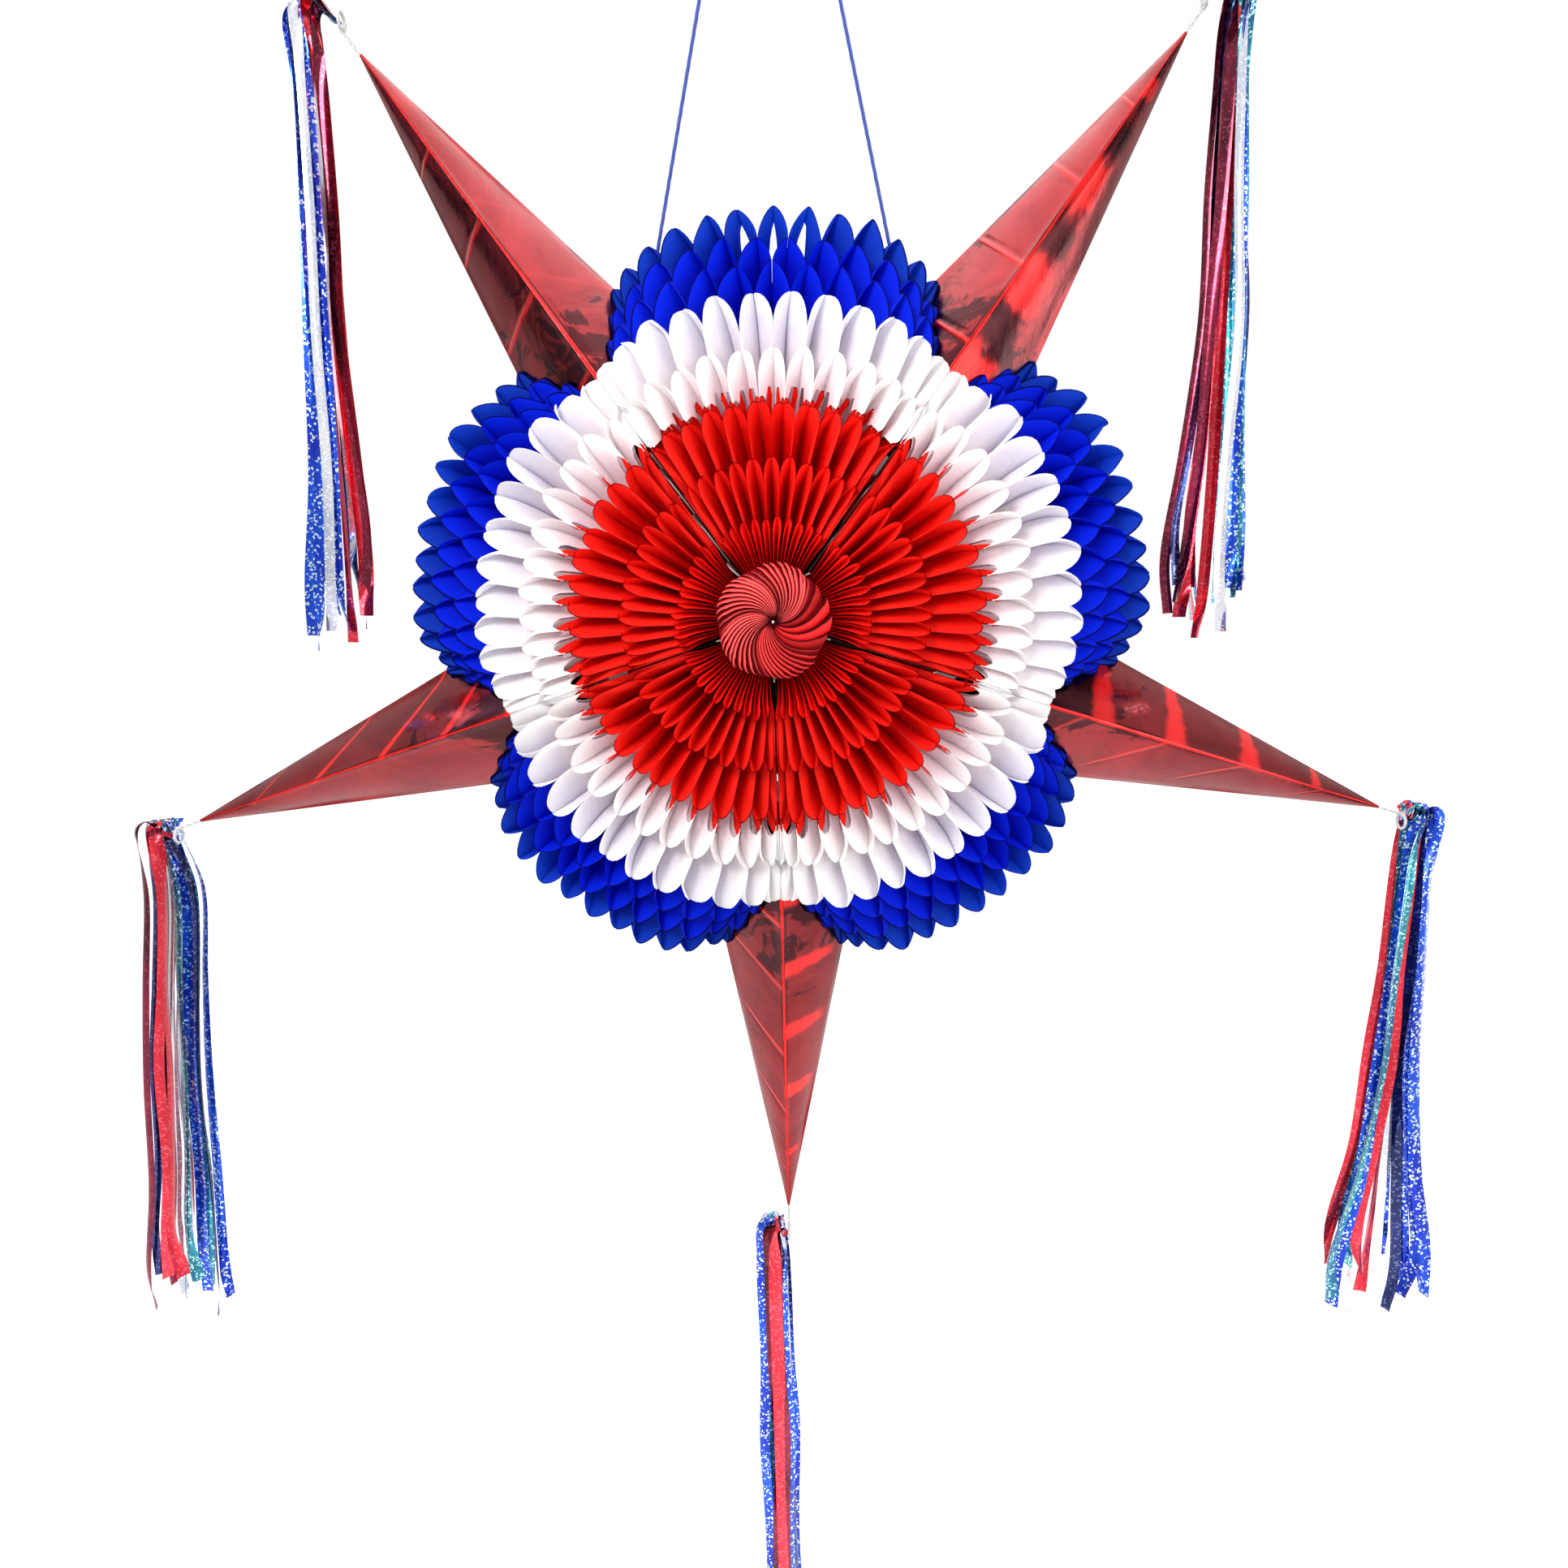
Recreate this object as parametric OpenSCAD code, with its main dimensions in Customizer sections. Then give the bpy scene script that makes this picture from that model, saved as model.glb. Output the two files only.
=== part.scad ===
// Folding star pinata: a fanned tissue body, five foil cones and five strip
// tassels, hung from a flat ring by two cords.
// Z is up and the front faces -Y. The origin is the centre of the ring's bore.
// Angles are measured about the spine, from +X towards +Z.

/* [Tissue body] */
// Radius of the body, to the petal tips of its outermost row
body_r = 224; // [215:1:230]
// Radius at the shoulder, where the steep rim meets the flatter face
shoulder_r = 169; // [165:1:174]
// Depth from the middle plane to the shoulder
shoulder_y = 52.5; // [48:0.5:56]
// Spacing of the rows of petals along the spine
row_gap = 17.5; // [16:0.5:18]
// Radius at which the tissue stops beside the rosette
pole_r = 30; // [30:1:34]
// Height of the ring's bore above the centre of the star
drop = 440; // [430:1:450]

/* [Foil cones] */
// Distance from the spine to the point of a cone
tip_r = 395; // [380:1:410]
// Distance from the spine to a cone's open inner end
cone_in = 110; // [105:1:120]
// Half-width of a cone across the star, for each unit of its length
cone_wide = 0.2; // [0.18:0.01:0.21]
// Half-depth of a cone along the spine, for each unit of its length
cone_deep = 0.26; // [0.24:0.01:0.28]
// Length cut off the sharp point, where the string comes out
tip_cut = 4; // [3:0.5:6]
// Shift of the inside surface that gives the foil card its wall
cone_shell = 5; // [4:0.5:6]

/* [Card parts] */
// Thickness of one card leaf
leaf_t = 0.7; // [0.5:0.1:0.8]
// Outside radius of the treat tube, which is also the spine
tube_r = 26; // [25:0.5:26]
// Wall of the treat tube
tube_wall = 1.2; // [1:0.1:2]
// Depth from the middle plane to the treat tube's closed front end
tube_front = 130; // [129:0.5:130]
// Depth from the middle plane to the treat tube's open back end
tube_back = 126; // [125:0.5:126]
// Radius of the fill cap
cap_r = 31; // [30:0.5:31]
// Thickness of the fill cap and of the tube's end disc
disc_t = 1.5; // [1:0.1:1.5]

/* [Hanging ring and cords] */
// Radius of the ring's bore
ring_bore_r = 14; // [10:0.5:15]
// Outside radius of the ring
ring_r = 20; // [18:0.5:21]
// Thickness of the ring
ring_t = 2.4; // [2:0.1:2.4]
// Distance of each ear's hole from the middle of the ring
ear_x = 21.5; // [21:0.5:24]
// Height of the ears' holes below the centre of the ring
ear_drop = 6; // [4:0.5:8]
// Radius of the hole in each ear
ear_hole_r = 2.8; // [2.8:0.1:3]
// Outside radius of each ear
ear_r = 6; // [5.5:0.1:6]
// Diameter of a hanging cord
cord_d = 2; // [1.5:0.1:2]
// Radius of the loop that ties a cord to its ear
loop_r = 8; // [8:0.5:9]

/* [Tassels and their strings] */
// Length of the string between a cone's point and its eye
string_len = 12; // [10:1:16]
// Diameter of a cone's string
string_d = 2; // [1.6:0.1:2.2]
// Radius of the eye at the end of a string
eye_r = 4.5; // [4:0.5:5]
// Radius of the fold of strips that passes through the eye
fold_r = 1.6; // [1:0.1:1.8]
// Length of a tassel below its eye
tassel_len = 355; // [330:5:360]
// Thickness of a tassel from front to back
tassel_t = 24; // [18:1:30]

/* [Hidden] */
$fn = 48;
card_gap = 0.3;                 // clearance between neighbouring pieces
leaf_gap = 0.1;                 // gap on each side of a card leaf
leaf_room = leaf_t + 2 * leaf_gap;
cone_clear = 2;                 // lengthening of a cone that clears its faces by 0.4
card_rgb = "gainsboro";
string_rgb = "whitesmoke";
cord_rgb = "navy";
red_rgb = "red";
foil_rgb = "firebrick";
tube_clear_r = tube_r + card_gap;
face_slope = 1.715;             // radius lost on the face for each unit of depth
white_y = 4.5 * row_gap;        // depth at which white tissue gives way to red
pole_y = shoulder_y + (shoulder_r - pole_r) / face_slope;
hollow_r = body_r - 8;          // reach of the body's inner hollow at the middle plane
recess_r = cap_r + 3;           // room around the fill cap
recess_y = tube_back - 2;
cut_in = 1;                     // how far a cutting shape passes a surface
rosette_profile = [[0, 0], [24, 0], [28, 4], [27, 9], [20, 13], [7, 11], [0, 7]];
rosette_lift = 0.3;
knot_r = 3.5;
knot_top_r = 2.6;
knot_grip = 1;                  // length of cord that each knot holds
cap_lift = 0.3;                 // gap between the tube's mouth and the cap

SEGMENTS = ["top", "upper_left", "lower_left", "lower_right", "upper_right"];
VALLEYS = ["top_left", "left", "bottom", "right", "top_right"];
segment_a = [90, 162, 234, 306, 18];
valley_a = [126, 198, 270, 342, 54];
eye_lift = [1, -1, -1, -1, 1];      // +1 stands the eye on its string, -1 hangs it
outward = [-1, -1, -1, 1, 1];       // side of the eye on which a tassel's strips hang
// Inner and outer edge of each tassel's strips near the eye, half way down and at the free end
strips_in = [[8, 8, 2], [-12, -2, 2], [-2, -4, -6], [-2, -8, -31], [6, 2, -12]];
strips_out = [[32, 38, 52], [28, 44, 60], [24, 22, 22], [20, 24, 42], [28, 38, 46]];
fold_in = 3;                    // reach of a tassel's fold on the star's side of its eye
fold_len = 10;
// Arch of a tassel's strips, outwards and up from the eye: its underside, then its crest
arch = [[3.5, -10], [3.5, 3], [9, 11], [14, 12]];
arch_end = 4;                   // distance inside the outer edge at which the arch starts to fall
arch_h = 7;                     // height of the arch there
spread_z = 20;                  // depth below the eye at which the outer edge hangs free
gather_z = 40;                  // the same for the inner edge
under_z = 16;                   // depth at which the strips leave the fold

// Each cord is taut, from the knot inside an upper cone to its loop at the ring.
// The right cord's route is given, and the left cord mirrors it.
cord_route = [[76, 0, -272], [22, 0, -24]];
cord_rings = 24;
cord_sides = 8;

// ---- Shared geometry ----

// Outside radius of the body at a depth from its middle plane
function outer_r(y) =
    y < shoulder_y ? body_r - (body_r - shoulder_r) * y / shoulder_y
                   : shoulder_r - (y - shoulder_y) * face_slope;

// Direction from the spine at an angle
function out(a) = [cos(a), 0, sin(a)];

// Where the string of a valley's cone ends, and the centre of its eye
function string_end(i) = (tip_r + string_len) * out(valley_a[i]) - [0, 0, drop];
function eye_at(i) = string_end(i) + [0, 0, eye_lift[i] * eye_r];

// Points of a tube along a straight route, ring by ring
function tube_points(a, b, r, rings, sides) =
    let (
        along = (b - a) / norm(b - a),
        side = cross(along, [0, 1, 0]),
        up = cross(along, side)
    )
    [for (k = [0:rings - 1], j = [0:sides - 1])
        a + (b - a) * k / (rings - 1)
          + r * (side * cos(360 * j / sides) + up * sin(360 * j / sides))];

function tube_faces(rings, sides) = concat(
    [[for (j = [0:sides - 1]) j]],
    [for (k = [0:rings - 2], j = [0:sides - 1])
        [k * sides + j, (k + 1) * sides + j,
         (k + 1) * sides + (j + 1) % sides, k * sides + (j + 1) % sides]],
    [[for (j = [sides - 1:-1:0]) (rings - 1) * sides + j]]
);

// Puts the star's own frame, centred on the body, below the ring
module in_star() {
    translate([0, 0, -drop]) children();
}

// Turns a shape built about Z so that its axis lies along the spine, +Z to the front
module on_spine() {
    rotate([90, 0, 0]) children();
}

// A solid four-sided cone along the direction a, from its open end to its point
module cone_form(a, start, point) {
    full = point - start;
    wide = cone_wide * full;
    deep = cone_deep * full;
    rotate([0, -a, 0]) translate([start, 0, 0]) rotate([0, 90, 0])
        linear_extrude(height = full - tip_cut, scale = tip_cut / full)
            polygon([[wide, 0], [0, deep], [-wide, 0], [0, -deep]]);
}

// The room that a cone takes out of the tissue and the card leaves
module cone_room(a) {
    cone_form(a, cone_in - card_gap, tip_r + cone_clear);
}

// A wedge of the body between two valleys, with the given half-section
module wedge(i, section) {
    difference() {
        on_spine() rotate([0, 0, segment_a[i] - 36]) rotate_extrude(angle = 72)
            polygon(section);
        for (side = [-1, 1]) {
            valley = segment_a[i] + side * 36;
            rotate([0, -valley, 0]) translate([0, -body_r, -leaf_room])
                cube([2 * body_r, 2 * body_r, 2 * leaf_room]);
            cone_room(valley);
        }
        fill_recess();
    }
}

// The space around the fill cap at the back pole
module fill_recess() {
    translate([0, recess_y, 0]) rotate([-90, 0, 0]) cylinder(h = 40, r = recess_r);
}

// Half-sections as [radius, depth towards the front]
function white_slab(side) =
    [[tube_clear_r, side * shoulder_y], [shoulder_r, side * shoulder_y],
     [outer_r(white_y), side * white_y], [tube_clear_r, side * white_y]];

function face_slab(side) =
    [[tube_clear_r, side * white_y], [outer_r(white_y), side * white_y],
     [pole_r, side * pole_y], [tube_clear_r, side * tube_front]];

// A straight hole along a cord
module cord_channel(side, r) {
    a = cord_route[0];
    b = cord_route[1];
    along = b - a;
    lean = atan2(along[0], along[2]);
    translate([side * a[0], a[1], a[2]]) rotate([0, side * lean, 0])
        translate([0, 0, -2 * knot_r]) cylinder(h = norm(along), r = r);
}

// ---- Hanging ring and cords ----

module hang_ring() {
    color("silver")
    on_spine() difference() {
        union() {
            cylinder(h = ring_t, r = ring_r, center = true);
            for (x = [-ear_x, ear_x]) {
                translate([x, -ear_drop, 0]) cylinder(h = ring_t, r = ear_r, center = true);
            }
        }
        cylinder(h = ring_t + 2 * cut_in, r = ring_bore_r, center = true);
        for (x = [-ear_x, ear_x]) {
            translate([x, -ear_drop, 0])
                cylinder(h = ring_t + 2 * cut_in, r = ear_hole_r, center = true);
        }
    }
}

module cord(side) {
    a = cord_route[0];
    b = cord_route[1];
    color(cord_rgb)
    polyhedron(
        tube_points([side * a[0], a[1], a[2]], [side * b[0], b[1], b[2]],
                    cord_d / 2, cord_rings, cord_sides),
        tube_faces(cord_rings, cord_sides));
}

// One loop through each ear, closed below by a small knot
module cord_loops() {
    bottom = -ear_drop - 2 * loop_r;
    color(cord_rgb)
    for (x = [-ear_x, ear_x]) {
        translate([x, 0, -ear_drop - loop_r]) rotate([0, 90, 0])
            rotate_extrude() translate([loop_r, 0]) circle(r = cord_d / 2, $fn = 24);
        translate([x, 0, bottom]) sphere(r = knot_top_r, $fn = 24);
    }
}

// The knots that stop the cords inside the two upper cones
module cord_knots() {
    color(cord_rgb)
    for (side = [-1, 1]) {
        translate([side * cord_route[0][0], 0, cord_route[0][2] - knot_r + knot_grip])
            sphere(r = knot_r, $fn = 24);
    }
}

// ---- Tissue pads ----

module red_front(i) {
    color(red_rgb) in_star() wedge(i, face_slab(1));
}

module red_back(i) {
    color(red_rgb) in_star() wedge(i, face_slab(-1));
}

module white_front(i) {
    color("white") in_star() wedge(i, white_slab(1));
}

module white_back(i) {
    color("white") in_star() wedge(i, white_slab(-1));
}

// The rim pad is hollow inside, down to a thin edge at the middle plane
module blue_rim(i) {
    color("mediumblue")
    difference() {
        in_star() wedge(i, [[tube_clear_r, shoulder_y], [shoulder_r, shoulder_y], [body_r, 0],
                            [shoulder_r, -shoulder_y], [tube_clear_r, -shoulder_y], [hollow_r, 0]]);
        for (side = [-1, 1]) {
            cord_channel(side, cord_d / 2 + card_gap);
        }
    }
}

// ---- Card leaves, treat tube and fill cap ----

// The two card leaves that meet in a valley, each glued to one tissue pad
module card_leaves(i) {
    color(card_rgb)
    in_star() difference() {
        rotate([0, -valley_a[i], 0]) for (side = [-1, 1]) {
            translate([0, 0, side * (leaf_t / 2 + leaf_gap)])
                linear_extrude(height = leaf_t, center = true) leaf_outline();
        }
        cone_room(valley_a[i]);
        fill_recess();
    }
}

// Half of the body's lengthwise section, as [radius, depth]
module leaf_outline() {
    polygon([[tube_clear_r, -tube_front], [pole_r, -pole_y], [shoulder_r, -shoulder_y],
             [shoulder_r, shoulder_y], [pole_r, pole_y], [tube_clear_r, tube_front]]);
}

module treat_tube() {
    color(card_rgb) in_star() on_spine() translate([0, 0, -tube_back]) difference() {
        cylinder(h = tube_front + tube_back, r = tube_r);
        translate([0, 0, -cut_in])
            cylinder(h = tube_front + tube_back + 2 * cut_in, r = tube_r - tube_wall);
    }
}

module tube_end() {
    color(card_rgb) in_star() on_spine() translate([0, 0, tube_front])
        cylinder(h = disc_t, r = tube_r);
}

module rosette() {
    rotate_extrude() polygon(rosette_profile);
}

module front_rosette() {
    color("crimson") in_star() on_spine()
        translate([0, 0, tube_front + disc_t + rosette_lift]) rosette();
}

module fill_cap() {
    color(card_rgb) in_star() translate([0, tube_back + cap_lift, 0])
        rotate([-90, 0, 0]) cylinder(h = disc_t, r = cap_r);
}

module back_rosette() {
    color("crimson") in_star() translate([0, tube_back + cap_lift + disc_t + rosette_lift, 0])
        rotate([-90, 0, 0]) rosette();
}

// ---- Foil cones, their strings and the tassels ----

// A hollow four-sided cone of foil card. The upper two have a hole for a cord.
module foil_cone(i) {
    color(foil_rgb)
    difference() {
        in_star() difference() {
            cone_form(valley_a[i], cone_in, tip_r);
            cone_form(valley_a[i], cone_in - cut_in, tip_r - cone_shell);
        }
        for (side = [-1, 1]) {
            cord_channel(side, cord_d / 2 + card_gap);
        }
    }
}

// A doubled string out of a cone's point, ending in an eye whose hole faces X
module tip_string(i) {
    color(string_rgb) union() {
        translate([0, 0, -drop]) rotate([0, 90 - valley_a[i], 0])
            translate([0, 0, tip_r - tip_cut])
                cylinder(h = tip_cut + string_len, r = string_d / 2, $fn = 24);
        translate(eye_at(i)) rotate([0, 90, 0]) rotate_extrude()
            translate([eye_r, 0]) circle(r = string_d / 2, $fn = 24);
    }
}

// A bundle of foil strips, folded through the eye and spreading as it hangs
module tassel(i) {
    inner = strips_in[i];
    outer = strips_out[i];
    half_way = -tassel_len / 2;
    color("slateblue") translate(eye_at(i)) mirror([outward[i] < 0 ? 1 : 0, 0, 0]) union() {
        translate([-fold_in, 0, 0]) rotate([0, 90, 0]) cylinder(h = fold_len, r = fold_r);
        rotate([90, 0, 0]) linear_extrude(height = tassel_t, center = true)
            polygon(concat(arch, [
                [outer[0] - arch_end, arch_h], [outer[0], -spread_z], [outer[1], half_way],
                [outer[2], -tassel_len], [inner[2], -tassel_len], [inner[1], half_way],
                [inner[0], -gather_z], [min(fold_in, inner[0]), -under_z]]));
    }
}

// ---- Assembly ----

hang_ring();
cord(-1);  // cord_left
cord(1);  // cord_right
cord_loops();
cord_knots();
for (i = [0:4]) {
    red_front(i);
    white_front(i);
    blue_rim(i);
    white_back(i);
    red_back(i);
    card_leaves(i);
    foil_cone(i);
    tip_string(i);
    tassel(i);
}
treat_tube();
tube_end();
front_rosette();
fill_cap();
back_rosette();
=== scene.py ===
import math

import bpy
import numpy as np
from mathutils import Matrix, Vector, noise


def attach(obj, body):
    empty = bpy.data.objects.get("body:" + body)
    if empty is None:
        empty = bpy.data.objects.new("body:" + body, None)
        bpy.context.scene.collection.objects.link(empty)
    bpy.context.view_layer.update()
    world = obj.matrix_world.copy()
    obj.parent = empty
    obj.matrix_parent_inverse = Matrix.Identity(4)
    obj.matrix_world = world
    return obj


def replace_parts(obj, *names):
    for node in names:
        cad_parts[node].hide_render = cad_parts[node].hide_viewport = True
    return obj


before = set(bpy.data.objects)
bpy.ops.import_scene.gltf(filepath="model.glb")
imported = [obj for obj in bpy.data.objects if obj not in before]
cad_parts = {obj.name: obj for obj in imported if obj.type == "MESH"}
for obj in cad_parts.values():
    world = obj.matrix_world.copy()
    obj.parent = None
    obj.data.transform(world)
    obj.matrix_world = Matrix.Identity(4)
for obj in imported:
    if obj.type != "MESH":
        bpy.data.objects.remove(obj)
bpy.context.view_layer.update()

# ---- Driving sizes, in metres. The star's own frame is centred on its body, and Y is its spine. ----
DROP = 0.440  # height of the ring's bore above the star's centre
ROW = 0.0175  # spacing of the glue lines, and of the rows of petals, along the spine
BODY_R = 0.224  # petal tips of the outermost row
SHOULDER_R = 0.169  # petal tips where the steep rim meets the flatter face
SHOULDER_ROW = 3  # that row's number, counted from the middle plane
FACE_SLOPE = 1.715  # radius lost on the face for each unit of depth
POLE_R = 0.030  # where the face ends beside a rosette
TUBE_R = 0.0268  # the pages' inner edges, just outside the treat tube
CONE_IN, TIP_R = 0.110, 0.395  # a cone's open end and its point, from the spine
CONE_WIDE, CONE_DEEP = 0.2, 0.26
STRING = 0.012  # from a cone's point to its eye
EYE_R = 0.0045
TASSEL = 0.355  # length from the eye
SEGMENTS = {"top": 90, "upper_left": 162, "lower_left": 234, "lower_right": 306, "upper_right": 18}
VALLEYS = {"top_left": 126, "left": 198, "bottom": 270, "right": 342, "top_right": 54}
EYE_LIFT = {"top_left": 1, "left": -1, "bottom": -1, "right": -1, "top_right": 1}
OUTWARD = {"top_left": -1, "left": -1, "bottom": -1, "right": 1, "top_right": 1}
# Inner and outer edge of each tassel's strips, outwards from the eye: near it, half way down, and at the free end
SPREAD = {"top_left": ((0.008, 0.032), (0.008, 0.038), (0.002, 0.052)),
          "left": ((-0.012, 0.028), (-0.002, 0.044), (0.002, 0.060)),
          "bottom": ((-0.002, 0.024), (-0.004, 0.022), (-0.006, 0.022)),
          "right": ((-0.002, 0.020), (-0.008, 0.024), (-0.031, 0.042)),
          "top_right": ((0.006, 0.028), (0.002, 0.038), (-0.012, 0.046))}
FRONT_Y, BACK_Y = -0.1318, 0.1281  # where the front and back rosettes stand, in depth
RING_EAR = (0.0215, -0.006)  # an ear's hole, as distance from the middle and height
LOOP_R = 0.008
CORD_D = 0.002
CORD_ROUTE = [(0.076, 0, -0.272), (0.022, 0, -0.024)]  # right cord; the left one mirrors it


def in_star(points):
    """Points of the star's own frame, moved into the part's frame."""
    return np.asarray(points, float) - np.array([0, 0, DROP])


def direction(angle):
    """Unit vector from the spine at an angle in degrees, from +X towards +Z."""
    a = math.radians(angle)
    return np.array([math.cos(a), 0, math.sin(a)])


def eye_at(valley):
    """Centre of the eye at the end of a cone's string, in the part's frame."""
    return in_star((TIP_R + STRING) * direction(VALLEYS[valley])) + np.array([0, 0, EYE_LIFT[valley] * EYE_R])


# ---- Camera ----
EYE_POINT = (0.0136, -0.614, -0.4358)
PITCH, YAW, ROLL = 9.79, -1.15, -0.91  # degrees: down, to the left, and about the line of sight
LENS, SENSOR = 22.77, 36


def add_object(name, data):
    obj = bpy.data.objects.new(name, data)
    bpy.context.scene.collection.objects.link(obj)
    return obj


def make_camera():
    pitch, yaw, roll = (math.radians(v) for v in (PITCH, YAW, ROLL))
    forward = Vector((math.sin(yaw) * math.cos(pitch), math.cos(yaw) * math.cos(pitch), -math.sin(pitch)))
    right = forward.cross(Vector((0, 0, 1))).normalized()
    up = right.cross(forward)
    x = math.cos(roll) * right + math.sin(roll) * up
    y = math.cos(roll) * up - math.sin(roll) * right
    data = bpy.data.cameras.new("camera")
    data.lens, data.sensor_width = LENS, SENSOR
    data.clip_start, data.clip_end = 0.02, 60
    cam = add_object("camera", data)
    cam.matrix_world = Matrix.Translation(EYE_POINT) @ Matrix((x, y, -forward)).transposed().to_4x4()
    bpy.context.scene.camera = cam


make_camera()


# ---- Mesh helpers ----
class Shape:
    """Collects grids and tubes into one mesh, with a few named numbers on each vertex."""

    def __init__(self, *names):
        self.verts, self.faces, self.names = [], [], names
        self.values = {n: [] for n in names}

    def add(self, verts, faces, **values):
        start = len(self.verts)
        self.verts.extend(verts)
        self.faces.extend([tuple(start + i for i in f) for f in faces])
        for n in self.names:
            v = values.get(n, 0.0)
            self.values[n].extend(np.ravel(v) if np.ndim(v) else [v] * len(verts))

    def grid(self, points, closed=False, **values):
        """points is rows x columns x 3. closed joins the last column to the first."""
        rows, cols = points.shape[:2]
        last = cols if closed else cols - 1
        faces = [(r * cols + c, (r + 1) * cols + c, (r + 1) * cols + (c + 1) % cols, r * cols + (c + 1) % cols)
                 for r in range(rows - 1) for c in range(last)]
        self.add(points.reshape(-1, 3), faces, **values)

    def piece(self, name, material, body, slot, smooth=True):
        """A mesh object that rides on a body."""
        mesh = bpy.data.meshes.new(name)
        mesh.from_pydata([tuple(v) for v in self.verts], [], self.faces)
        mesh.validate()
        for key, values in self.values.items():
            mesh.attributes.new(key, "FLOAT", "POINT").data.foreach_set("value", np.asarray(values, np.float32))
        mesh.polygons.foreach_set("use_smooth", [smooth] * len(mesh.polygons))
        mesh.materials.append(material)
        obj = add_object(name, mesh)
        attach(obj, body)
        return obj


def frames_along(path):
    """Tangent, side and up vectors along a path, turned as little as possible."""
    path = np.asarray(path, float)
    tangent = np.gradient(path, axis=0)
    tangent /= np.linalg.norm(tangent, axis=1)[:, None]
    side = np.cross(tangent[0], (0, 1, 0))
    if np.linalg.norm(side) < 1e-6:
        side = np.cross(tangent[0], (1, 0, 0))
    sides = []
    for t in tangent:
        side = side - t * np.dot(side, t)
        side = side / np.linalg.norm(side)
        sides.append(side)
    sides = np.array(sides)
    return tangent, sides, np.cross(tangent, sides)


PLIES, RELIEF = 3, 0.12  # plies of every cord and thread, and how deep the grooves between them are


def strand(shape, path, radius, pitch=0.008, around=18, loop=False):
    """A twisted cord along a path: its surface has one low ridge for each ply. loop closes it on itself."""
    path = np.asarray(path, float)
    _, side, up = frames_along(path)
    length = np.concatenate([[0], np.cumsum(np.linalg.norm(np.diff(path, axis=0), axis=1))])
    turns = round(length[-1] / pitch) if loop else length[-1] / pitch
    a = np.linspace(0, 2 * math.pi, around, endpoint=False)
    rows = []
    for k in range(len(path)):
        phase = 2 * math.pi * turns * length[k] / length[-1]
        r = radius * (1 - RELIEF + RELIEF * np.abs(np.cos(PLIES * (a - phase / PLIES) / 2)) * 1.5)
        rows.append(path[k] + r[:, None] * (np.cos(a)[:, None] * side[k] + np.sin(a)[:, None] * up[k]))
    points = np.array(rows)
    shape.grid(points, closed=True)
    if not loop:
        for end, first, second in ((0, 1, 0), (-1, 0, 1)):
            fan = [(0, 1 + (j + first) % around, 1 + (j + second) % around) for j in range(around)]
            shape.add(np.vstack([path[end], points[end]]), fan)


def knot_path(centre, size, tall=1.0):
    """A trefoil knot, as tied in a thin cord."""
    t = np.linspace(0, 2 * math.pi, 90)
    x = np.sin(t) + 2 * np.sin(2 * t)
    z = np.cos(t) - 2 * np.cos(2 * t)
    y = -np.sin(3 * t)
    return np.asarray(centre) + size * np.stack([x / 3, y / 1.6, z / 3 * tall], axis=1)


# ---- Materials ----
def feed(nt, made, values):
    """Gives inputs of a node, by name or place, a number, a colour, a vector or another node's output."""
    for key, value in values.items():
        socket = made.inputs[key]
        if isinstance(value, bpy.types.NodeSocket):
            nt.links.new(value, socket)
        elif isinstance(value, tuple):
            socket.default_value = (*value, 1)[:len(socket.default_value)]
        else:
            socket.default_value = value


def node(nt, kind, values=None, **settings):
    made = nt.nodes.new(kind)
    for key, value in settings.items():
        setattr(made, key, value)
    feed(nt, made, values or {})
    return made


def new_material(name):
    mat = bpy.data.materials.new(name)
    mat.use_nodes = True
    nt = mat.node_tree
    nt.nodes.clear()
    bsdf = node(nt, "ShaderNodeBsdfPrincipled")
    return mat, nt, bsdf, node(nt, "ShaderNodeOutputMaterial", {0: bsdf.outputs[0]})


def ramp(nt, factor, stops):
    """A colour ramp on factor, with stops as (position, colour)."""
    made = node(nt, "ShaderNodeValToRGB", {0: factor})
    points = made.color_ramp.elements
    while len(points) < len(stops):
        points.new(0.5)
    for point, (place, colour) in zip(points, stops):
        point.position = place
        point.color = (*colour, 1)
    return made.outputs[0]


def rise(nt, factor, start, end, low=0, high=1):
    """Rises from low to high as factor goes from start to end."""
    return ramp(nt, factor, [(start, (low,) * 3), (end, (high,) * 3)])


def mix(nt, factor, a, b, blend="MIX"):
    return node(nt, "ShaderNodeMix", {0: factor, 6: a, 7: b}, data_type="RGBA", blend_type=blend).outputs[2]


def math_node(nt, operation, a, b):
    return node(nt, "ShaderNodeMath", {0: a, 1: b}, operation=operation).outputs[0]


def coords(nt, scale=(1, 1, 1), rotation=(0, 0, 0), move=(0, 0, 0)):
    source = node(nt, "ShaderNodeTexCoord").outputs["Object"]
    values = {"Vector": source, "Scale": scale, "Rotation": rotation, "Location": move}
    return node(nt, "ShaderNodeMapping", values).outputs[0]


def noise_at(nt, vector, scale, detail=4, rough=0.55, distortion=0.0):
    values = {"Vector": vector, "Scale": scale, "Detail": detail, "Roughness": rough, "Distortion": distortion}
    return node(nt, "ShaderNodeTexNoise", values).outputs["Fac"]


def add_bump(nt, bsdf, height, strength, distance):
    bump = node(nt, "ShaderNodeBump", {"Height": height, "Strength": strength, "Distance": distance})
    feed(nt, bsdf, {"Normal": bump.outputs[0]})


def attribute(nt, name):
    return node(nt, "ShaderNodeAttribute", attribute_name=name).outputs["Fac"]


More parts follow.
